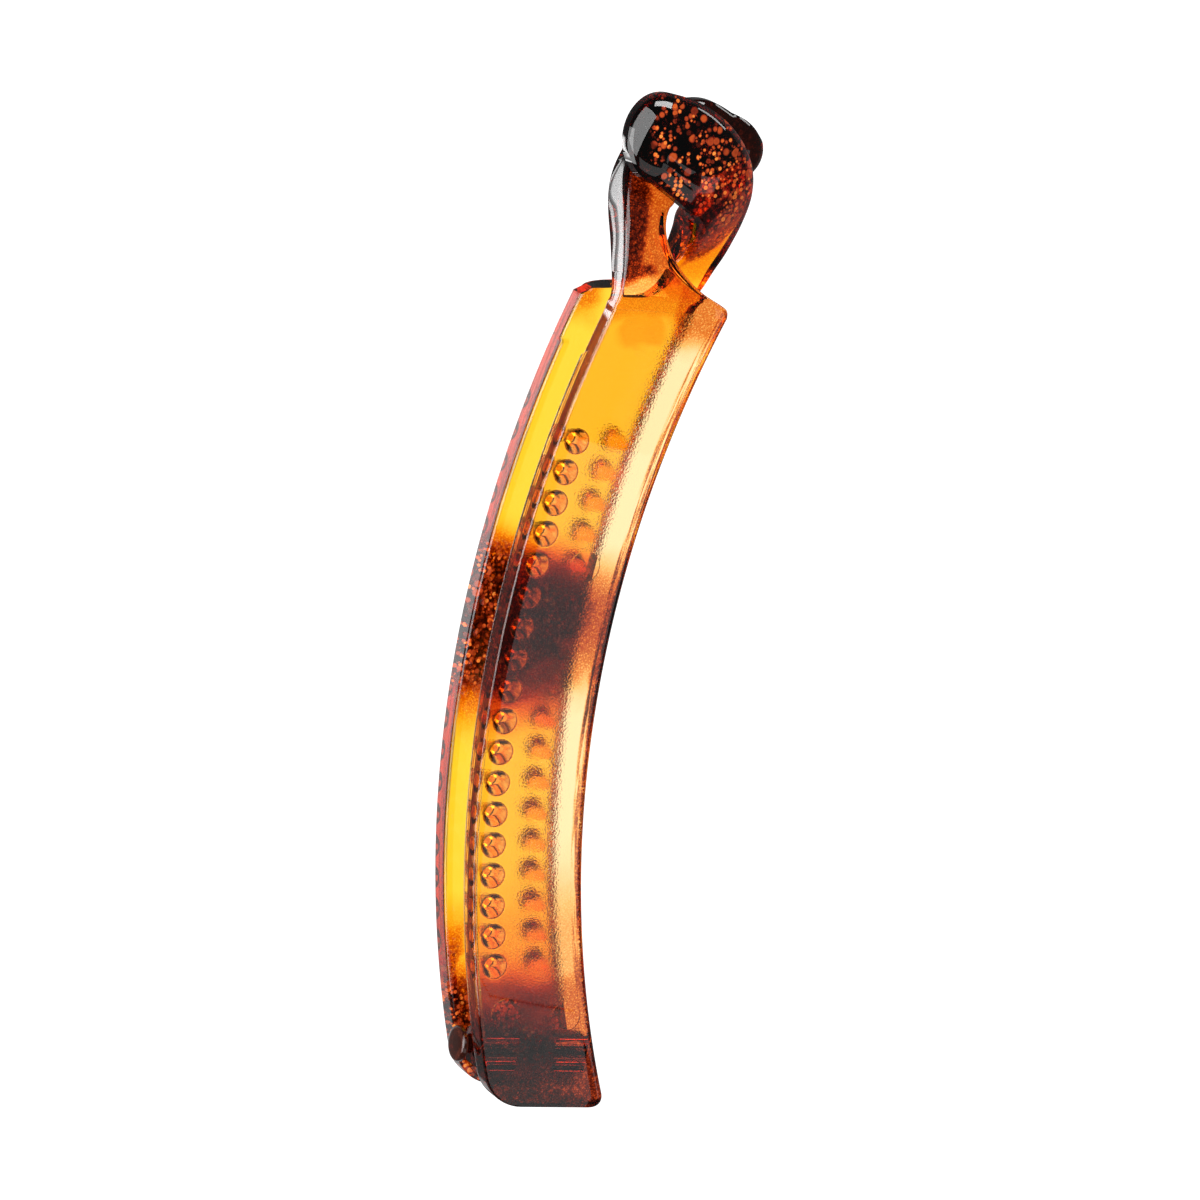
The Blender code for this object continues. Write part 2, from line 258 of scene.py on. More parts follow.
def outline(half_width, half_thick, roundness, lip):
    """The outline of one section, as points (u, v) round its middle.

    u runs from the back edge (-) to the front edge (+), and v from the outer face (-) to the inner one (+).
    """
    thick = 2 * half_thick
    for_box, for_ellipse = ROUNDER_WITH_THICKNESS
    rounder = (for_box + (for_ellipse - for_box) * roundness) * max(thick - PLATE_THICK, 0.0)
    back = min(BACK_EDGE_ROUND + rounder, LARGEST_SHARE * thick)
    front = min(FRONT_EDGE_ROUND + rounder, LARGEST_SHARE * thick)
    lip_slope = min(back / 2, LARGEST_SHARE * LIP_WIDTH)
    lip_width = min(max(LIP_WIDTH, back + 2 * lip_slope), half_width / 2)
    corners = (
        (-half_width + back, back, back, 180),
        (half_width - front, front, front, 270),
        (half_width - back, thick - back, back, 0),
    )
    points = []
    for place, (centre_u, centre_v, radius, first) in enumerate(corners):
        for step in range(CORNER_STEPS + 1):
            angle = math.radians(first + 90 * step / CORNER_STEPS)
            points.append((centre_u + radius * math.cos(angle), centre_v + radius * math.sin(angle)))
        if place == 0:
            points += even_points(points[-1], (half_width - front, 0.0))
    lip_side = -half_width + lip_width
    points += even_points(points[-1], (lip_side, thick))
    points.append((lip_side, thick))
    points.append((lip_side - lip_slope, thick + lip))
    for step in range(CORNER_STEPS + 1):
        angle = math.radians(90 + 90 * step / CORNER_STEPS)
        centre_u, centre_v = -half_width + back, thick + lip - back
        points.append((centre_u + back * math.cos(angle), centre_v + back * math.sin(angle)))
    shape = []
    for u, v in points:
        level = min(v, thick) - half_thick
        angle = math.atan2(level / half_thick, u / half_width)
        round_u, round_v = half_width * math.cos(angle), half_thick * math.sin(angle)
        flat_v = v - half_thick
        shape.append((u + (round_u - u) * roundness, flat_v + (round_v - flat_v) * roundness))
    return shape


def even_points(start, end):
    """The points between two corners of a section, without either."""
    shares = [step / FACE_STEPS for step in range(1, FACE_STEPS)]
    return [(start[0] + (end[0] - start[0]) * t, start[1] + (end[1] - start[1]) * t) for t in shares]


def new_object(name, mesh):
    """A scene object from a bmesh."""
    data = bpy.data.meshes.new(name)
    bmesh.ops.recalc_face_normals(mesh, faces=mesh.faces)
    mesh.to_mesh(data)
    mesh.free()
    obj = bpy.data.objects.new(name, data)
    bpy.context.scene.collection.objects.link(obj)
    return obj


def arm_shell(name, sections, upper):
    """One closed skin through all the sections of an arm."""
    middles = np.array([row[:3] for row in sections])
    tangents = np.gradient(middles, axis=0)
    mesh = bmesh.new()
    rings = []
    for row, tangent in zip(sections, tangents):
        x, y, z, heading, twist, *shape = row
        middle = Vector((x, y, z))
        across = Vector((math.cos(heading), -math.sin(heading), 0.0))
        inward = Vector(tangent).cross(across).normalized()
        turn = Matrix.Rotation(twist, 3, Vector(tangent))
        across, inward = turn @ across, turn @ inward
        if not upper:
            inward = -inward
        ring = [mesh.verts.new(middle + u * across + v * inward) for u, v in outline(*shape)]
        rings.append(ring)
    for low, high in zip(rings, rings[1:]):
        for place, vert in enumerate(low):
            after = (place + 1) % len(low)
            mesh.faces.new((vert, low[after], high[after], high[place]))
    mesh.faces.new(rings[0])
    mesh.faces.new(rings[-1])
    return new_object(name, mesh)


def add_turned(mesh, profile, sides, place):
    """A shape turned from a profile of radii and heights round its own Z, closed at both ends."""
    rings = []
    for radius, height in profile:
        if radius == 0:
            rings.append([mesh.verts.new(place @ Vector((0, 0, height)))])
            continue
        turns = [2 * math.pi * side / sides for side in range(sides)]
        rings.append([
            mesh.verts.new(place @ Vector((radius * math.cos(turn), radius * math.sin(turn), height)))
            for turn in turns
        ])
    for low, high in zip(rings, rings[1:]):
        for side in range(sides):
            after = (side + 1) % sides
            if len(low) == 1:
                mesh.faces.new((low[0], high[side], high[after]))
            elif len(high) == 1:
                mesh.faces.new((low[side], low[after], high[0]))
            else:
                mesh.faces.new((low[side], low[after], high[after], high[side]))
    for ring in (rings[0], rings[-1]):
        if len(ring) > 1:
            mesh.faces.new(ring)


def tooth_row(name, row_radius, start_angle, upper):
    """A row of teeth that stand on the plate's inner face."""
    mesh = bmesh.new()
    face_z = CLIP_THICK - PLATE_THICK if upper else PLATE_THICK
    turn = Matrix.Rotation(math.pi, 4, "X") if upper else Matrix.Identity(4)
    profile = [(radius * MM, height * MM) for radius, height in TOOTH_PROFILE]
    for number in range(TOOTH_COUNT):
        x, y = arc_point(row_radius, start_angle - number * TOOTH_PITCH / row_radius)
        add_turned(mesh, profile, TOOTH_SIDES, Matrix.Translation((x, y, face_z)) @ turn)
    return new_object(name, mesh)


def mark_cutter(name, marks, upper):
    """Flat discs that sink the mould's round marks into the inner face."""
    mesh = bmesh.new()
    face_z = CLIP_THICK - PLATE_THICK if upper else PLATE_THICK
    for x, y in marks:
        place = Matrix.Translation((x * MM, y * MM, face_z))
        bmesh.ops.create_cone(
            mesh,
            cap_ends=True,
            segments=KNUCKLE_SIDES,
            radius1=MARK_RADIUS,
            radius2=MARK_RADIUS,
            depth=2 * MARK_DEPTH,
            matrix=place,
        )
    return new_object(name, mesh)


def rod_along_x(name, radius, start_x, end_x):
    """A round bar on the hinge's axis."""
    mesh = bmesh.new()
    middle = Matrix.Translation(((start_x + end_x) / 2, HINGE_Y, HINGE_Z))
    place = middle @ Matrix.Rotation(math.pi / 2, 4, "Y")
    bmesh.ops.create_cone(
        mesh,
        cap_ends=True,
        segments=KNUCKLE_SIDES,
        radius1=radius,
        radius2=radius,
        depth=end_x - start_x,
        matrix=place,
    )
    return new_object(name, mesh)


def knuckle(which, upper):
    """One knuckle: a round eye on the hinge's axis, and the web that carries it."""
    start_x, end_x = (place * MM for place in KNUCKLE_ENDS[which])
    eye = rod_along_x(f"{which}_eye", KNUCKLE_RADIUS, start_x, end_x)
    plate_z = CLIP_THICK - PLATE_THICK / 2 if upper else PLATE_THICK / 2
    mesh = bmesh.new()
    size = (end_x - start_x, 2 * KNUCKLE_RADIUS, abs(plate_z - HINGE_Z))
    place = Matrix.Translation(((start_x + end_x) / 2, HINGE_Y, (HINGE_Z + plate_z) / 2))
    bmesh.ops.create_cube(mesh, size=1, matrix=place @ Matrix.Diagonal((*size, 1)))
    web = new_object(f"{which}_web", mesh)
    combine(eye, web, "UNION")
    return eye


def combine(target, tool, operation):
    """Cuts or joins two shapes, and takes the tool away."""
    modifier = target.modifiers.new(tool.name, "BOOLEAN")
    modifier.operation = operation
    modifier.solver = "EXACT"
    modifier.object = tool
    depsgraph = bpy.context.evaluated_depsgraph_get()
    data = bpy.data.meshes.new_from_object(target.evaluated_get(depsgraph))
    target.modifiers.clear()
    target.data = data
    bpy.data.objects.remove(tool, do_unlink=True)


class Graph:
    """Short ways to wire a material's nodes."""

    def __init__(self, name):
        self.material = bpy.data.materials.new(name)
        self.material.use_nodes = True
        self.tree = self.material.node_tree
        self.shader = self.tree.nodes["Principled BSDF"]

    def node(self, kind, **settings):
        """A new node of this kind, with these settings."""
        node = self.tree.nodes.new(kind)
        for name, value in settings.items():
            setattr(node, name, value)
        return node

    def feed(self, socket, value):
        """Gives a socket a value, or links another socket to it."""
        if isinstance(value, bpy.types.NodeSocket):
            self.tree.links.new(value, socket)
        else:
            socket.default_value = value

    def math(self, operation, *values, clamp=False):
        """The result of an operation on one or two values."""
        node = self.node("ShaderNodeMath", operation=operation, use_clamp=clamp)
        for socket, value in zip(node.inputs, values):
            self.feed(socket, value)
        return node.outputs[0]

    def product(self, *values):
        """All the values multiplied together."""
        result = values[0]
        for value in values[1:]:
            result = self.math("MULTIPLY", result, value)
        return result

    def vector(self, x, y, z):
        """A point from its three parts."""
        node = self.node("ShaderNodeCombineXYZ")
        for socket, value in zip(node.inputs, (x, y, z)):
            self.feed(socket, value)
        return node.outputs[0]

    def spread(self, value, low, high, to_low=0.0, to_high=1.0):
        """A smooth step from to_low, where value is low, to to_high, where it is high."""
        node = self.node("ShaderNodeMapRange", interpolation_type="SMOOTHSTEP")
        for socket, number in zip(node.inputs, (value, low, high, to_low, to_high)):
            self.feed(socket, number)
        return node.outputs[0]

    def place(self):
        """The point on the piece in millimetres, and its three parts."""
        coordinates = self.node("ShaderNodeTexCoord")
        scaled = self.node("ShaderNodeVectorMath", operation="SCALE")
        self.feed(scaled.inputs[0], coordinates.outputs["Object"])
        self.feed(scaled.inputs["Scale"], 1 / MM)
        parts = self.node("ShaderNodeSeparateXYZ")
        self.feed(parts.inputs[0], scaled.outputs[0])
        return scaled.outputs[0], parts.outputs

    def radius(self, x, y):
        """How far a point lies from the centre of the plate's arc, in millimetres."""
        across = self.math("POWER", self.math("SUBTRACT", x, ARC_RADIUS / MM), 2.0)
        return self.math("SQRT", self.math("ADD", across, self.math("POWER", y, 2.0)))

    def noise(self, point, size, detail=2.0):
        """Noise from 0 to 1 whose lumps are about size millimetres."""
        node = self.node("ShaderNodeTexNoise")
        self.feed(node.inputs["Vector"], point)
        self.feed(node.inputs["Scale"], 1 / size)
        self.feed(node.inputs["Detail"], detail)
        return node.outputs["Fac"]

    def cells(self, point, size):
        """Cells about size millimetres across: the distance from a cell's middle, and its random colour."""
        node = self.node("ShaderNodeTexVoronoi")
        self.feed(node.inputs["Vector"], point)
        self.feed(node.inputs["Scale"], 1 / size)
        return node.outputs["Distance"], node.outputs["Color"]

    def ramp(self, value, stops):
        """The colour that belongs to a value from 0 to 1."""
        node = self.node("ShaderNodeValToRGB")
        self.feed(node.inputs[0], value)
        while len(node.color_ramp.elements) < len(stops):
            node.color_ramp.elements.new(1.0)
        for element, (position, colour) in zip(node.color_ramp.elements, stops):
            element.position = position
            element.color = (*colour, 1.0)
        return node.outputs[0]

    def blend(self, share, under, over, way="MIX"):
        """Two colours, with the second laid over the first as strongly as share says."""
        node = self.node("ShaderNodeMix", data_type="RGBA", blend_type=way)
        # For colours, the node takes its seventh and eighth inputs and gives its third output
        self.feed(node.inputs[0], share)
        self.feed(node.inputs[6], under)
        self.feed(node.inputs[7], over)
        return node.outputs[2]


# The dark bands of each arm. A band is as dark as its level where every one of its edges is passed. An edge
# is given as (across, along, start, soft): it is passed where across * x + along * y is over start, in
# millimetres, and it fades over soft millimetres on both sides.
UPPER_BANDS = (
    (0.70, ((-0.25, -1, 41.0, 3.5),)),
    (0.84, ((-0.25, -1, 48.0, 2.5),)),
    (0.48, ((-0.20, -1, -18.5, 4.5), (-0.50, 1, 0.8, 5.0))),
    (0.64, ((-0.20, -1, -17.5, 4.0), (-0.69, 1, 4.0, 4.0), (-1, 0, -7.0, 4.0))),
    (0.66, ((1, 0, 6.4, 1.0), (0, -1, -15.5, 4.0), (0, 1, 1.0, 4.0))),
    (0.42, ((0, 1, 55.0, 2.5),)),
    (0.76, ((0, 1, 55.6, 1.0), (0, -1, -57.6, 1.0), (-1, 0, -7.0, 1.5))),
    (0.76, ((-1, 0, -4.7, 1.4), (0, 1, 55.5, 1.5))),
    (1.04, ((0.6, 1, 72.0, 6.0),)),
    (0.14, ((0, 1, 47.2, 0.6), (-1, 0, -9.0, 0.8), (1, 0, 2.6, 0.8))),
    (0.22, ((0, 1, 50.5, 1.5),)),
    (0.34, ((0, 1, 47.5, 2.5), (1, 0, 10.0, 1.0))),
    (0.22, ((0.35, -1, 27.0, 8.0),)),
    (0.42, ((0.35, -1, 40.0, 3.0),)),
)
LOWER_BANDS = (
    (0.74, ((0, -1, 40.0, 5.0),)),
    (0.45, ((0, -1, 33.0, 5.0), (-1, 0, 0.6, 0.9))),
    (0.83, ((-0.2, -1, -17.0, 5.0), (0, 1, -2.5, 8.0))),
    (0.73, ((-1.2, 1, 38.8, 2.2), (0, 1, 55.0, 1.5))),
    (1.00, ((-1, 0, -14.2, 1.0), (0, 1, 56.5, 1.5))),
    (0.86, ((-0.30, 1, 63.8, 1.4),)),
    (0.22, ((0, 1, 53.5, 2.0),)),
    (0.30, ((0, 1, 48.5, 2.5), (-1, 0, -4.0, 1.5))),
)

# The bands' edges wander in lumps of this size, by up to half of this width each way, in millimetres
BAND_LUMPS = 4.0
BAND_WANDER = 3.0

# The pin's plastic
PIN_TINT = (0.10, 0.02, 0.01)
PIN_TRANSMISSION = 0.85

# The shares of red, green and blue light that this much of the clear plastic lets through
CLEAR_PATH = 3.0 * MM
UPPER_CLEAR = (0.97, 0.75, 0.38)
LOWER_CLEAR = (0.995, 0.63, 0.04)

# The tint of the dark plastic, from clear to darkest
DARK_STOPS = (
    (0.00, (1.0, 1.0, 1.0)),
    (0.20, (0.96, 0.64, 0.32)),
    (0.40, (0.78, 0.26, 0.06)),
    (0.60, (0.44, 0.065, 0.018)),
    (0.80, (0.13, 0.013, 0.006)),
    (0.94, (0.024, 0.002, 0.001)),
    (1.00, (0.006, 0.001, 0.0005)),
)

# How far the pattern leans across and along the clip for each millimetre of depth, and how fast it changes
# through the depth
PATTERN_LEAN = (0.32, -0.17)
PATTERN_DEPTH = 0.25

# In what follows, a pair of numbers is a fade, the two values between which something comes or goes, unless
# its comment says otherwise. Lengths and places are in millimetres.

# The plate gives way to the shoulder over these y
PLATE_END = (52.0, 53.0)

# The streaks along the plate's two edges: how often they change over a millimetre, across and along the
# clip, and the fades of their noise on the concave edge and on the convex one
STREAK_SCALE = (2.6, 0.10)
FRONT_STREAKS = (0.38, 0.62)
EDGE_STREAKS = (0.40, 0.60)

# Round this y the concave edge's streaks are darker by this much, which fades over these distances from it.
# The streaks are full over this share of their width, and their lowest side fades this far both ways.
MIDDLE_BAND_Y = 8.0
MIDDLE_BAND_REACH = (7.0, 16.0)
MIDDLE_BAND_DARKER = 0.45
FRONT_FULL = 0.7
FRONT_SOFT = 0.1

# The painted shade along the convex edge, a streaked dark tint, is full to this depth, and gone at twice as
# much
EDGE_SHADE_DEPTH = 0.25

# The teeth begin over the plate's faces, and stand inside the lip and above the tail. Painted shade darkens
# them, most at the root, and over these heights past the face it fades to this share towards their tips
TOOTH_FROM_FACE = (0.02, 0.14)
TOOTH_INSIDE_EDGE = (1.6, 1.4)
TOOTH_LOWEST_Y = (-41.0, -40.0)
TOOTH_SHADE_FADE = (0.3, 2.8)
TOOTH_SHADE_TIP_SHARE = 0.4

# Fine grains and a network of cells, by the size of a cell. Over these distances from a cell's middle, in
# shares of its size, they go from the first change of the darkness to the second. They start with these
# levels of darkness, and the network fades to the share that is left at these higher ones.
GRAIN_CELLS = 0.26
GRAIN_DISTANCES = (0.10, 0.60)
GRAIN_CHANGES = (-0.16, 0.12)
GRAIN_START = (0.05, 0.35)
NETWORK_CELLS = 0.62
NETWORK_DISTANCES = (0.18, 0.62)
NETWORK_CHANGES = (-0.30, 0.22)
NETWORK_START = (0.40, 0.62)
NETWORK_END = (0.80, 0.92)
NETWORK_LEFT = 0.25

# The flecks of paler plastic in the dark, one size in a row: the size of a fleck's cell, the size of the
# clusters, the noise from which a cluster starts, the least and the most strength of a fleck, and how far
# flecks of this size also crowd outside the clusters
FLECK_SIZES = (
    (1.30, 4.2, 0.26, 0.08, 0.50, 0.0),
    (0.80, 3.6, 0.50, 0.20, 0.95, 0.3),
    (0.60, 3.0, 0.50, 0.50, 1.00, 1.0),
)
CLUSTER_DETAIL = 1.0
CLUSTER_SOFT = 0.1

# A fleck's least and most radius, in shares of its cell; its rim's fade round that radius; how far its
# weaker middle reaches, and how weak that is; and the random numbers that give the least and the most
# strength
FLECK_RADII = (0.32, 0.56)
FLECK_RIM = (-0.20, 0.04)
FLECK_MIDDLE = 0.35
FLECK_MIDDLE_LEVEL = 0.80
FLECK_PICK = (0.1, 0.9)

# The darkness with which flecks start, and that over which they no longer crowd outside the clusters
FLECK_START = (0.34, 0.62)
CROWD_END = (0.76, 0.86)

# Two places without flecks: the end of a finger, left of these x and above these y, and its neck, left of
# these x, above the plate and below these y
TIP_X = (1.8, 3.6)
TIP_Y = (60.0, 64.0)
NECK_X = (14.0, 14.8)
NECK_Y = (65.0, 67.0)

# The colours of the flecks from faint to strong, the strength from which they show in full, and how much
# less clear they make the plastic there
FLECK_STOPS = (
    (0.00, (0.20, 0.018, 0.008)),
    (0.30, (0.30, 0.032, 0.010)),
    (0.65, (0.74, 0.120, 0.018)),
    (1.00, (1.00, 0.360, 0.060)),
)
FLECK_SHOWN = 0.3
FLECK_COVER = 0.60

# What sets each arm's pattern and painted shade: the two tints of the painted shade on its convex edge; on
# its concave edge, the least and the most darkness of the streaks, how wide they are, and how far over the
# plate's middle they start; how dark the painted shade of its teeth is at the root; how strong its network
# of cells and its flecks are; and how far flecks crowd
UPPER_LEVELS = {
    "edge": ((0.32, 0.08, 0.03), (1.0, 0.85, 0.70)),
    "front": (0.0, 0.60, 1.3, -9.0),
    "teeth": 0.80,
    "network": 0.35,
    "flecks": 0.12,
    "crowd": 0.0,
}
LOWER_LEVELS = {
    "edge": ((0.16, 0.15, 0.12), (0.60, 0.62, 0.60)),
    "front": (0.80, 1.0, 1.6, 1.1),
    "teeth": 0.15,
    "network": 1.0,
    "flecks": 1.0,
    "crowd": 0.9,
}

# How rough the plastic is, all over, on its teeth, and on the face with the grain of the mould. The grain
# has this depth and size, and lies within this reach of that face and below this y.
PLASTIC_IOR = 1.49
PLASTIC_ROUGHNESS = 0.012
TOOTH_ROUGHNESS = 0.10
FROST_ROUGHNESS = 0.02
FROST_DEPTH = 0.07 * MM
FROST_GRAIN = 0.30
FROST_REACH = 0.16
FROST_END_Y = 51.5


def band_darkness(graph, bands, point, x, y):
    """How dark the bands make the plastic: 0 is clear, and 1 or more is darkest."""
    lumps = graph.math("SUBTRACT", graph.noise(point, BAND_LUMPS), 0.5)
    wander = graph.math("MULTIPLY", lumps, BAND_WANDER)
    band_x = graph.math("SUBTRACT", x, wander)
    band_y = graph.math("ADD", y, wander)
    darkness = 0.0
    for level, edges in bands:
        band = level
        for across, along, start, soft in edges:
            past = graph.math("MULTIPLY", band_x, across)
            past = graph.math("ADD", past, graph.math("MULTIPLY", band_y, along))
            band = graph.math("MULTIPLY", graph.spread(past, start - soft, start + soft), band)
        darkness = graph.math("MAXIMUM", band, darkness)
    return darkness


def front_darkness(graph, front, streak, radius, height, leaning_y, on_plate):
    """How dark the streaks along the plate's concave edge are."""
    least, most, width, lowest = front
    inner = INNER_RADIUS / MM
    dark = graph.spread(streak, *FRONT_STREAKS, least, most)
    from_middle = graph.math("ABSOLUTE", graph.math("SUBTRACT", leaning_y, MIDDLE_BAND_Y))
    darker = graph.spread(from_middle, *MIDDLE_BAND_REACH, MIDDLE_BAND_DARKER, 0.0)
    return graph.product(
        graph.spread(radius, inner + width, inner + FRONT_FULL * width, 0.0, 1.0),
        on_plate,
        graph.spread(height, lowest - FRONT_SOFT, lowest + FRONT_SOFT),
        graph.math("ADD", dark, darker),
    )


def where_teeth(graph, past_face, radius, y, on_plate):
    """1 on the teeth and 0 elsewhere."""
    inside, outside = (OUTER_RADIUS / MM - distance for distance in TOOTH_INSIDE_EDGE)
    return graph.product(
        graph.spread(past_face, *TOOTH_FROM_FACE),
        on_plate,
        graph.spread(radius, inside, outside, 1.0, 0.0),
        graph.spread(y, *TOOTH_LOWEST_Y),
    )


def cell_changes(graph, point, darkness, network_level):
    """How much the fine grains and the network of cells change the darkness."""
    fine, _ = graph.cells(point, GRAIN_CELLS)
    grains = graph.product(
        graph.spread(fine, *GRAIN_DISTANCES, *GRAIN_CHANGES),
        graph.spread(darkness, *GRAIN_START),
    )
    middling, _ = graph.cells(point, NETWORK_CELLS)
    network = graph.product(
        graph.spread(middling, *NETWORK_DISTANCES, *NETWORK_CHANGES),
        network_level,
        graph.spread(darkness, *NETWORK_START),
        graph.spread(darkness, *NETWORK_END, 1.0, NETWORK_LEFT),
    )
    return graph.math("ADD", grains, network)


def fleck_strength(graph, point, darkness, levels):
    """How strong the paler flecks are, from 0 to 1."""
    crowded = graph.spread(darkness, *CROWD_END, levels["crowd"], 0.0)
    flecks = 0.0
    for size, cluster, start, least, most, crowding in FLECK_SIZES:
        distance, colour = graph.cells(point, size)
        picks = graph.node("ShaderNodeSeparateColor")
        graph.feed(picks.inputs[0], colour)
        radius = graph.spread(picks.outputs[0], 0.0, 1.0, *FLECK_RADII)
        noise = graph.noise(point, cluster, CLUSTER_DETAIL)
        clustered = graph.spread(noise, start, start + CLUSTER_SOFT)
        fleck = graph.product(
            graph.spread(graph.math("SUBTRACT", distance, radius), *FLECK_RIM, 1.0, 0.0),
            graph.spread(distance, 0.0, FLECK_MIDDLE, FLECK_MIDDLE_LEVEL, 1.0),
            graph.spread(picks.outputs[1], *FLECK_PICK, least, most),
            graph.math("MAXIMUM", clustered, graph.math("MULTIPLY", crowded, crowding)),
        )
        flecks = graph.math("MAXIMUM", fleck, flecks)
    return graph.product(flecks, graph.spread(darkness, *FLECK_START, 0.0, levels["flecks"]))


def where_flecks(graph, x, y, on_plate):
    """1 where flecks may lie, and 0 in the two places without them."""
    off_tip = graph.math("MAXIMUM", graph.spread(x, *TIP_X), graph.spread(y, *TIP_Y, 1.0, 0.0))
    off_neck = graph.math("MAXIMUM", graph.spread(x, *NECK_X), graph.spread(y, *NECK_Y))
    return graph.product(off_tip, graph.math("MAXIMUM", off_neck, on_plate))


def tortoise(graph, bands, plate_z, levels):
    """The plastic's tint, how clear it is, and where it has teeth.

    The tint is clear with dark bands, which break up into grains, cells and round flecks.
    """
    _, (x, y, z) = graph.place()
    height = graph.math("SUBTRACT", z, plate_z / MM)
    leaning_x = graph.math("ADD", x, graph.math("MULTIPLY", height, PATTERN_LEAN[0]))
    leaning_y = graph.math("ADD", y, graph.math("MULTIPLY", height, PATTERN_LEAN[1]))
    point = graph.vector(leaning_x, leaning_y, graph.math("MULTIPLY", height, PATTERN_DEPTH))
    darkness = band_darkness(graph, bands, point, leaning_x, leaning_y)

    radius = graph.radius(x, y)
    on_plate = graph.spread(y, *PLATE_END, 1.0, 0.0)
    across_scale, along_scale = STREAK_SCALE
    along_plate = graph.vector(
        graph.math("MULTIPLY", radius, across_scale),
        graph.math("MULTIPLY", y, along_scale),
        graph.math("MULTIPLY", z, across_scale),
    )
    streak = graph.noise(along_plate, 1.0)
    front = front_darkness(graph, levels["front"], streak, radius, height, leaning_y, on_plate)
    darkness = graph.math("MAXIMUM", front, darkness)
    past_face = graph.math("SUBTRACT", graph.math("ABSOLUTE", height), PLATE_THICK / 2 / MM)
    on_tooth = where_teeth(graph, past_face, radius, y, on_plate)
    # Painted shade: the teeth are darkened, most at the root and less towards their tips
    tooth_shade_at_root = levels["teeth"]
    tooth = graph.spread(past_face, *TOOTH_SHADE_FADE, tooth_shade_at_root, TOOTH_SHADE_TIP_SHARE * tooth_shade_at_root)
    darkness = graph.math("MAXIMUM", graph.product(on_tooth, tooth), darkness)

    changes = cell_changes(graph, point, darkness, levels["network"])
    dark_tint = graph.ramp(graph.math("ADD", darkness, changes, clamp=True), DARK_STOPS)
    # Painted shade: the convex edge darkens in streaks, from dark red to pale on the upper arm and from
    # dark to mid grey on the lower
    outer = OUTER_RADIUS / MM
    on_edge = graph.spread(radius, outer - 2 * EDGE_SHADE_DEPTH, outer - EDGE_SHADE_DEPTH)
    edge_shade_colours = [(*colour, 1.0) for colour in levels["edge"]]
    edge_shade_tint = graph.blend(graph.spread(streak, *EDGE_STREAKS), *edge_shade_colours)
    edge_shaded = graph.blend(graph.product(on_edge, on_plate), dark_tint, edge_shade_tint, "DARKEN")

    flecks = fleck_strength(graph, point, darkness, levels)
    flecks = graph.product(flecks, where_flecks(graph, x, y, on_plate))
    tint = graph.blend(graph.spread(flecks, 0.0, FLECK_SHOWN), edge_shaded, graph.ramp(flecks, FLECK_STOPS))
    clearness = graph.math("SUBTRACT", 1.0, graph.spread(flecks, 0.0, FLECK_SHOWN, 0.0, FLECK_COVER))
    return tint, clearness, on_tooth


def absorb(graph, clear):
    """Makes the inside of the plastic take up light, so that CLEAR_PATH of it lets these shares through."""
    taken = [-math.log(share) / CLEAR_PATH for share in clear]
    inside = graph.node("ShaderNodeVolumeAbsorption")
    inside.inputs["Density"].default_value = max(taken)
    inside.inputs["Color"].default_value = (*(1 - part / max(taken) for part in taken), 1.0)
    graph.feed(graph.tree.nodes["Material Output"].inputs["Volume"], inside.outputs[0])


def plastic(name, bands, clear, plate_z, levels, frosted_z=None):
    """A clear moulded plastic. The face at frosted_z has the fine grain of the mould."""
    graph = Graph(name)
    shader = graph.shader
    shader.inputs["IOR"].default_value = PLASTIC_IOR
    absorb(graph, clear)
    tint, clearness, teeth = tortoise(graph, bands, plate_z, levels)
    graph.feed(shader.inputs["Base Color"], tint)
    graph.feed(shader.inputs["Transmission Weight"], clearness)
    rough = graph.spread(teeth, 0.0, 1.0, PLASTIC_ROUGHNESS, TOOTH_ROUGHNESS)
    if frosted_z is not None:
        point, (_, y, z) = graph.place()
        away = graph.math("ABSOLUTE", graph.math("SUBTRACT", z, frosted_z / MM))
        on_face = graph.math("LESS_THAN", away, FROST_REACH)
        frost = graph.product(on_face, graph.math("LESS_THAN", y, FROST_END_Y))
        frosted = graph.spread(frost, 0.0, 1.0, PLASTIC_ROUGHNESS, FROST_ROUGHNESS)
        rough = graph.math("MAXIMUM", frosted, rough)
        bump = graph.node("ShaderNodeBump")
        bump.inputs["Strength"].default_value = 1.0
        bump.inputs["Distance"].default_value = FROST_DEPTH
        graph.feed(bump.inputs["Height"], graph.product(graph.noise(point, FROST_GRAIN), frost))
        graph.feed(shader.inputs["Normal"], bump.outputs[0])
    graph.feed(shader.inputs["Roughness"], rough)
    return graph.material


def dark_plastic(name):
    """The pin's dark plastic, the same all over."""
    graph = Graph(name)
    graph.shader.inputs["IOR"].default_value = PLASTIC_IOR
    graph.shader.inputs["Roughness"].default_value = PLASTIC_ROUGHNESS
    graph.shader.inputs["Base Color"].default_value = (*PIN_TINT, 1.0)
    graph.shader.inputs["Transmission Weight"].default_value = PIN_TRANSMISSION
    return graph.material


def build_arm(name, table, tip_reach, row, knuckles, marks, upper):
    """One moulded arm in a single skin."""
    sections = plate_sections(upper)
    sections += finger_sections(table, tip_reach, sections[-1])
    arm = arm_shell(name, sections, upper)
    combine(arm, tooth_row(f"{name}_teeth", *row, upper), "UNION")
    for which in knuckles:
        combine(arm, knuckle(which, upper), "UNION")
    bore = rod_along_x(f"{name}_bore", PIN_RADIUS + PIECE_GAP, PIN_START_X, PIN_END_X)
    combine(arm, bore, "DIFFERENCE")
    combine(arm, mark_cutter(f"{name}_marks", marks, upper), "DIFFERENCE")
    return arm


def finish_arm(arm, material):
    """Gives the arm its plastic, and smooth shading between its real edges."""
    arm.data.materials.clear()
    arm.data.materials.append(material)
    arm.data.shade_smooth()
    arm.data.set_sharp_from_angle(angle=SHARP_ANGLE)
    weighted = arm.modifiers.new("weighted", "WEIGHTED_NORMAL")
    weighted.keep_sharp = True


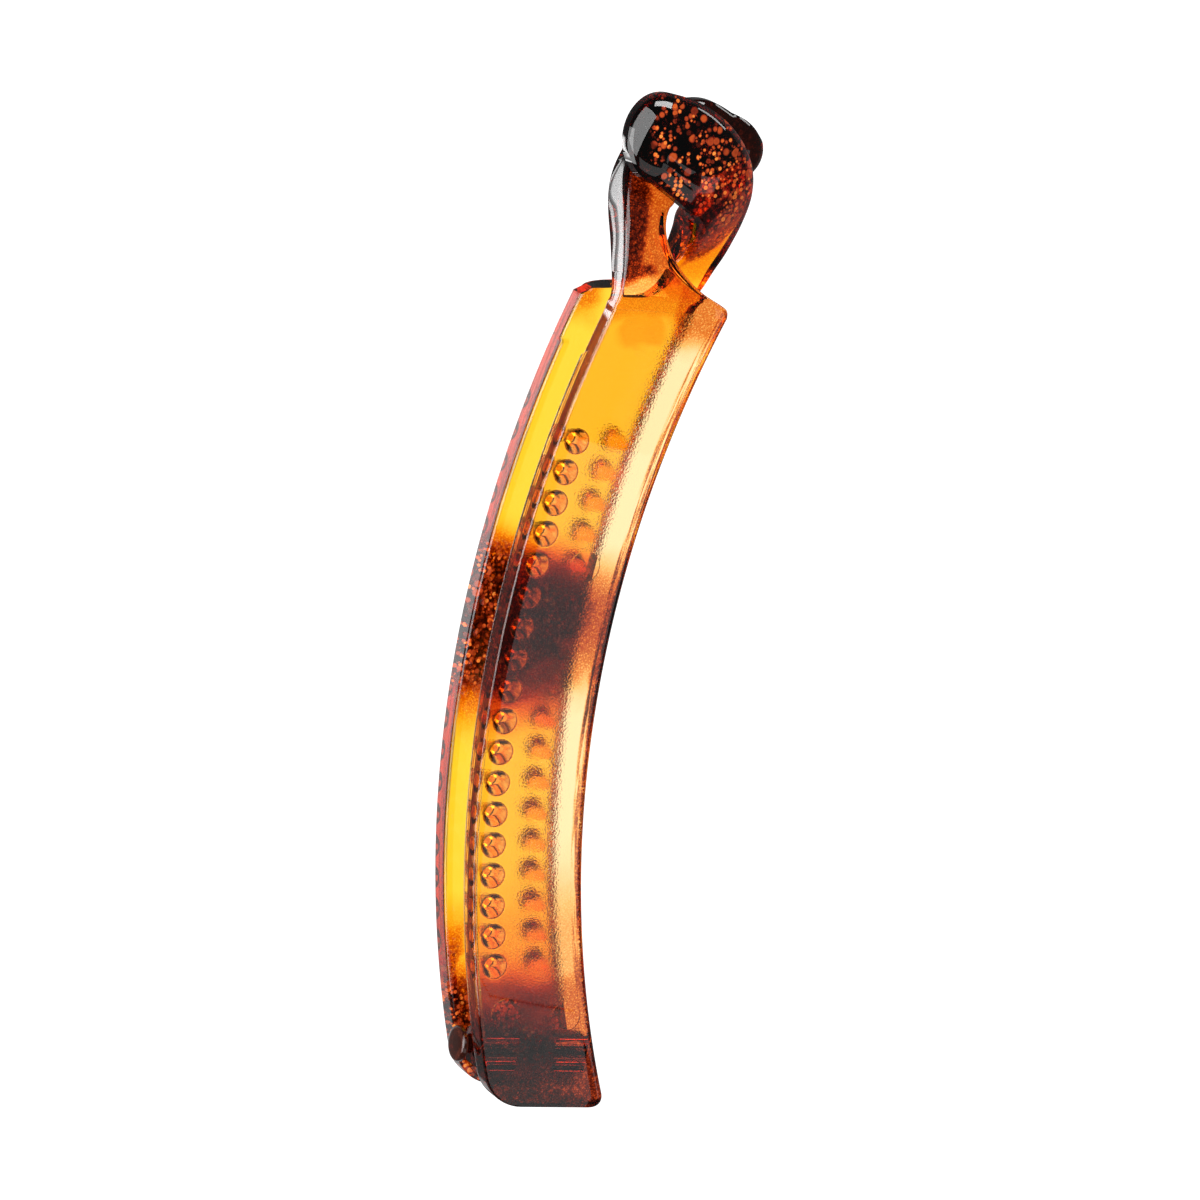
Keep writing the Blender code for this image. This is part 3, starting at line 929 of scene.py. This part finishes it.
def build_pin():
    """The rivet pin, with its low domed head on the back of the clip."""
    mesh = bmesh.new()
    place = Matrix.Translation((PIN_START_X, HINGE_Y, HINGE_Z)) @ Matrix.Rotation(-math.pi / 2, 4, "Y")
    add_turned(mesh, [(radius * MM, height * MM) for radius, height in PIN_PROFILE], PIN_SIDES, place)
    pin = new_object("rivet_pin", mesh)
    pin.data.shade_smooth()
    pin.data.set_sharp_from_angle(angle=SHARP_ANGLE)
    return pin


lower = build_arm(
    "lower_arm_smooth",
    LOWER_FINGER,
    LOWER_TIP_REACH,
    (LOWER_ROW_RADIUS, LOWER_ROW_START),
    ("middle",),
    LOWER_MARKS,
    False,
)
upper = build_arm(
    "upper_arm_smooth",
    UPPER_FINGER,
    UPPER_TIP_REACH,
    (UPPER_ROW_RADIUS, UPPER_ROW_START),
    ("back", "front"),
    UPPER_MARKS,
    True,
)
pin = build_pin()

upper_z = CLIP_THICK - PLATE_THICK / 2
lower_z = PLATE_THICK / 2
frosted_z = CLIP_THICK - PLATE_THICK
upper_plastic = plastic("upper_plastic", UPPER_BANDS, UPPER_CLEAR, upper_z, UPPER_LEVELS, frosted_z)
lower_plastic = plastic("lower_plastic", LOWER_BANDS, LOWER_CLEAR, lower_z, LOWER_LEVELS)
finish_arm(upper, upper_plastic)
finish_arm(lower, lower_plastic)
pin.data.materials.append(dark_plastic("pin_plastic"))

for piece, body, node, slot in (
    (lower, "lower_half", "lower_arm", "lower_amber"),
    (upper, "upper_half", "upper_arm", "upper_amber"),
    (pin, "lower_half", "hinge_pin", "pin_dark"),
):
    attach(piece, body)
    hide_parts(node)


# The camera stands where the photograph was taken from
VIEW_DIRECTION = Vector((-0.4487, 0.2363, 0.8619)).normalized()
VIEW_TARGET = Vector((8.7, 12.2, 6.2)) * MM
VIEW_DISTANCE = 1.0
PIXELS_PER_METRE = 7800
FRAME_PIXELS = 1200
SENSOR_WIDTH = 36.0
VIEW_TURN = math.radians(10)


def build_camera():
    """The camera, turned so that the clip stands in the frame as in the photograph."""
    upright = Matrix.Rotation(VIEW_TURN, 3, "Z") @ Vector((0, 1, 0))
    right = upright.cross(VIEW_DIRECTION).normalized()
    up = VIEW_DIRECTION.cross(right)
    data = bpy.data.cameras.new("photo_camera")
    data.sensor_width = SENSOR_WIDTH
    data.lens = SENSOR_WIDTH * PIXELS_PER_METRE * VIEW_DISTANCE / FRAME_PIXELS
    data.clip_start = 0.01
    data.clip_end = 20.0
    camera = bpy.data.objects.new("photo_camera", data)
    camera.matrix_world = Matrix.Translation(VIEW_TARGET + VIEW_DIRECTION * VIEW_DISTANCE) @ Matrix(
        (right, up, VIEW_DIRECTION)
    ).transposed().to_4x4()
    bpy.context.scene.collection.objects.link(camera)
    bpy.context.scene.camera = camera


def soft_light(name, middle, aim, size_x, size_y, radiance, roll=0.0):
    """A soft rectangular light at one point that faces another."""
    data = bpy.data.lights.new(name, "AREA")
    data.shape = "RECTANGLE"
    data.size = size_x
    data.size_y = size_y
    data.energy = radiance * math.pi * size_x * size_y
    light = bpy.data.objects.new(name, data)
    facing = (Vector(aim) - Vector(middle)).to_track_quat("-Z", "Y").to_matrix().to_4x4()
    light.matrix_world = Matrix.Translation(middle) @ facing @ Matrix.Rotation(roll, 4, "Z")
    bpy.context.scene.collection.objects.link(light)


# The floor, which glows by itself
FLOOR_HALF_WIDTH = 3.0
FLOOR_DROP = 0.3 * MM
FLOOR_BASE = 0.05
FLOOR_ROUGHNESS = 0.9
FLOOR_SPECULAR = 0.1
FLOOR_GLOW = 1.20

# In mirror images the floor glows less, but more in two places, as if pale cards lay there
MIRRORED_GLOW = 0.08

# The first place is a band beside the lower plate's convex edge. It comes over the first pair of distances
# from that edge, goes over the second, and ends at the top over these y. Over the y of its growth it grows
# from the least share of its glow to all of it.
NEAR_GLOW = 2.4
NEAR_START = (-2.0, -1.0)
NEAR_END = (2.2, 3.0)
NEAR_TOP = (51.0, 52.0)
NEAR_GROWTH = (-45.0, 40.0)
NEAR_LEAST = 0.2

# The second place is a strip beside the fingers, which comes and goes over these y. Its glow, given as
# (x, glow), passes smoothly from each step to the next. Above the y of its lean it moves to the right by
# this much for each millimetre.
STRIP_START = (51.8, 52.4)
STRIP_END = (70.5, 72.5)
STRIP_LEAN_Y = 63.0
STRIP_LEAN = 0.30
STRIP_STEPS = (
    (-38.0, 0.0),
    (-30.0, 10.0),
    (-8.0, 10.0),
    (-4.4, 7.5),
    (-3.95, 2.0),
    (-3.6, 1.0),
    (-3.45, 6.0),
    (-3.15, 6.0),
    (-3.0, 0.0),
)


def near_band(graph, x, y):
    """The mirrored glow beside the lower plate's convex edge."""
    from_edge = graph.math("SUBTRACT", graph.radius(x, y), OUTER_RADIUS / MM)
    return graph.product(
        graph.spread(from_edge, *NEAR_END, NEAR_GLOW, 0.0),
        graph.spread(from_edge, *NEAR_START),
        graph.spread(y, *NEAR_TOP, 1.0, 0.0),
        graph.spread(y, *NEAR_GROWTH, NEAR_LEAST, 1.0),
    )


def finger_strip(graph, x, y):
    """The mirrored glow beside the fingers."""
    over = graph.math("MAXIMUM", graph.math("SUBTRACT", y, STRIP_LEAN_Y), 0.0)
    across = graph.math("ADD", x, graph.math("MULTIPLY", over, -STRIP_LEAN))
    strip = STRIP_STEPS[0][1]
    for (left, _), (right, glow) in zip(STRIP_STEPS, STRIP_STEPS[1:]):
        strip = graph.spread(across, left, right, strip, glow)
    return graph.product(strip, graph.spread(y, *STRIP_START), graph.spread(y, *STRIP_END, 1.0, 0.0))


def build_floor():
    """A plain ground whose own light makes it white, as a lit ground is in a product photograph."""
    mesh = bmesh.new()
    bmesh.ops.create_grid(mesh, x_segments=1, y_segments=1, size=FLOOR_HALF_WIDTH)
    floor = new_object("floor", mesh)
    floor.location.z = -FLOOR_DROP
    graph = Graph("floor_white")
    graph.shader.inputs["Base Color"].default_value = (FLOOR_BASE, FLOOR_BASE, FLOOR_BASE, 1)
    graph.shader.inputs["Roughness"].default_value = FLOOR_ROUGHNESS
    graph.shader.inputs["Specular IOR Level"].default_value = FLOOR_SPECULAR
    graph.shader.inputs["Emission Color"].default_value = (1, 1, 1, 1)
    _, (x, y, _) = graph.place()
    places = graph.math("MAXIMUM", finger_strip(graph, x, y), near_band(graph, x, y))
    mirrored = graph.math("ADD", places, MIRRORED_GLOW)
    in_mirror = graph.node("ShaderNodeLightPath").outputs["Is Reflection Ray"]
    glow = graph.spread(in_mirror, 0.0, 1.0, FLOOR_GLOW, mirrored)
    graph.feed(graph.shader.inputs["Emission Strength"], glow)
    floor.data.materials.append(graph.material)


def build_world(radiance):
    """A plain surrounding, equally bright all round."""
    world = bpy.data.worlds.new("studio")
    world.use_nodes = True
    background = world.node_tree.nodes["Background"]
    background.inputs["Color"].default_value = (1, 1, 1, 1)
    background.inputs["Strength"].default_value = radiance
    bpy.context.scene.world = world


# The soft boxes: name, middle, the point that it faces, width, height, radiance, and turn if any. The first
# three face straight down, in line with the clip as it stands in the picture.
BOX_RADIANCE = 0.9
BOX_TURN = math.radians(-8.6)
SOFT_BOXES = (
    ("key_softbox", (0.742, -0.287, 0.812), (0.742, -0.287, 0.0), 0.70, 0.1416, BOX_RADIANCE, BOX_TURN),
    ("key_softbox_top", (0.797, -0.138, 0.812), (0.797, -0.138, 0.0), 0.635, 0.17, BOX_RADIANCE, BOX_TURN),
    ("fill_softbox", (0.013, -0.527, 0.812), (0.013, -0.527, 0.0), 0.82, 0.55, BOX_RADIANCE, BOX_TURN),
    ("top_softbox", (-0.60, 0.46, 0.82), (-0.10, 0.10, 0.01), 1.60, 0.95, 5.0),
    ("back_softbox", (0.28, 0.85, 0.44), (0.01, 0.05, 0.01), 0.50, 0.22, 13.0),
    ("left_softbox", (-0.78, -0.10, 0.40), (0.01, 0.0, 0.01), 1.10, 0.60, 5.0),
    ("rim_softbox", (0.80, 0.62, 0.13), (0.02, 0.07, 0.01), 0.24, 0.10, 6.0),
)
WORLD_RADIANCE = 0.08

build_camera()
build_floor()
build_world(WORLD_RADIANCE)
for soft_box in SOFT_BOXES:
    soft_light(*soft_box)
bpy.context.scene.view_settings.view_transform = "Standard"
